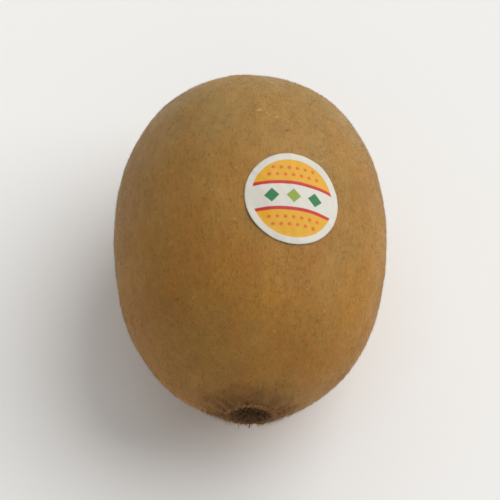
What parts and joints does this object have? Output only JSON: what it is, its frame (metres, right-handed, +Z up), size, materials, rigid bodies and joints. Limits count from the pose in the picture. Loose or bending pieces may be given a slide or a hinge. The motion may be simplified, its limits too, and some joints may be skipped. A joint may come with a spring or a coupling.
{
  "type": "golden kiwi fruit",
  "caption": "Whole golden kiwi fruit on its side: smooth bronze oval skin, low ringed beak with dried styles, stalk scar at the other end, round label.",
  "frame": {"origin": "on the surface that the fruit lies on, below the middle of the fruit", "axes": "+Y along the fruit towards its stem end, so the blossom end with its dried styles points along -Y; +X across the broad side, +Z up"},
  "size_m": [0.055, 0.0723, 0.052],
  "materials": {
    "skin": "matte",
    "label_film": "satin",
    "dried_flower_parts": "matte"
  },
  "bodies": {
    "root": {"kiwi_fruit": "skin", "fruit_label": "label_film"}
  },
  "joints": []
}
